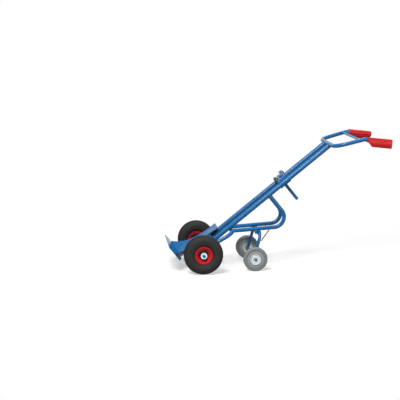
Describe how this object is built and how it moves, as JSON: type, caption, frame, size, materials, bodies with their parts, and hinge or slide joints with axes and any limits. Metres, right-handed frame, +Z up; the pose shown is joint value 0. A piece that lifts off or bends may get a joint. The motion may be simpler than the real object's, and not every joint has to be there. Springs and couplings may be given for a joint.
{
  "type": "drum trolley",
  "caption": "Steel drum trolley with twin spine tubes, bowed handle, curved shovel, pneumatic wheels, sprung support fork and sliding rim hook.",
  "frame": {"origin": "middle of the box round the parked trolley, on the floor under its wheels", "axes": "+X from the shovel towards the handle, +Y across to the right-hand wheels seen by the person pushing, +Z up"},
  "size_m": [1.4566, 0.672, 0.8912],
  "materials": {
    "blue_paint": "gloss powder coat",
    "black_tyre": "matte",
    "grey_tyre": "matte",
    "red_rim": "gloss",
    "red_grip": "satin",
    "zinc": "bright zinc",
    "black_rubber": "matte",
    "black_plastic": "satin"
  },
  "bodies": {
    "frame": {"axle_spacers": "blue_paint", "axle_washers": "zinc", "bow_brace": "blue_paint", "fork_bearing_left": "blue_paint", "fork_bearing_right": "blue_paint", "grip_left": "red_grip", "grip_right": "red_grip", "handle_bow": "blue_paint", "handle_crossbar": "blue_paint", "main_axle": "blue_paint", "return_spring_left": "zinc", "return_spring_right": "zinc", "shovel_wall": "blue_paint", "spine_tube_left": "blue_paint", "spine_tube_right": "blue_paint", "split_pins": "zinc", "spring_anchors": "blue_paint", "stop_pads": "blue_paint", "support_loop_left": "blue_paint", "support_loop_right": "blue_paint", "toe_plate": "blue_paint", "wall_rib_left": "blue_paint", "wall_rib_right": "blue_paint"},
    "fork": {"fork_tube": "blue_paint", "stop_tabs": "blue_paint", "spring_lugs": "blue_paint", "support_bolts": "zinc", "support_nuts": "zinc", "support_washers": "zinc"},
    "hook_slider": {"buffer_ears": "blue_paint", "buffer_rod": "zinc", "drum_hook": "blue_paint", "hook_bolts": "zinc", "hook_cheeks": "blue_paint", "lever_plug": "black_plastic", "lever_tube": "blue_paint", "rubber_buffer": "black_rubber", "slider_back_plate": "blue_paint", "slider_bolts": "zinc", "slider_front_plate": "blue_paint", "slider_nuts": "zinc", "slider_side_bars": "blue_paint"},
    "main_wheel_left": {"main_tyre_left": "black_tyre", "main_rim_left": "red_rim", "main_hub_left": "zinc", "main_valve_left": "black_rubber"},
    "main_wheel_right": {"main_tyre_right": "black_tyre", "main_rim_right": "red_rim", "main_hub_right": "zinc", "main_valve_right": "black_rubber"},
    "support_wheel_left": {"support_tyre_left": "grey_tyre", "support_rim_left": "zinc", "support_hub_left": "zinc"},
    "support_wheel_right": {"support_tyre_right": "grey_tyre", "support_rim_right": "zinc", "support_hub_right": "zinc"}
  },
  "joints": [
    {"name": "main_wheel_left_spin", "type": "hinge", "parent": "frame", "child": "main_wheel_left", "pos_m": [-0.50567, -0.28, 0.13], "axis": [0, 1, 0], "continuous": true},
    {"name": "main_wheel_right_spin", "type": "hinge", "parent": "frame", "child": "main_wheel_right", "pos_m": [-0.50567, 0.28, 0.13], "axis": [0, 1, 0], "continuous": true},
    {"name": "support_fork_swing", "type": "hinge", "parent": "frame", "child": "fork", "pos_m": [-0.11267, 0, 0.2347], "axis": [0, -1, 0], "range_deg": [0, 75], "stiffness_Nm_per_rad": 1, "springref_deg": 45.84, "deforming": ["return_spring_left", "return_spring_right"]},
    {"name": "support_wheel_left_spin", "type": "hinge", "parent": "fork", "child": "support_wheel_left", "pos_m": [-0.15267, -0.209, 0.08], "axis": [0, 1, 0], "continuous": true},
    {"name": "support_wheel_right_spin", "type": "hinge", "parent": "fork", "child": "support_wheel_right", "pos_m": [-0.15267, 0.209, 0.08], "axis": [0, 1, 0], "continuous": true},
    {"name": "hook_slide", "type": "slide", "parent": "frame", "child": "hook_slider", "axis": [0.7771, 0, 0.6293], "range_m": [-0.07, 0.33]}
  ]
}
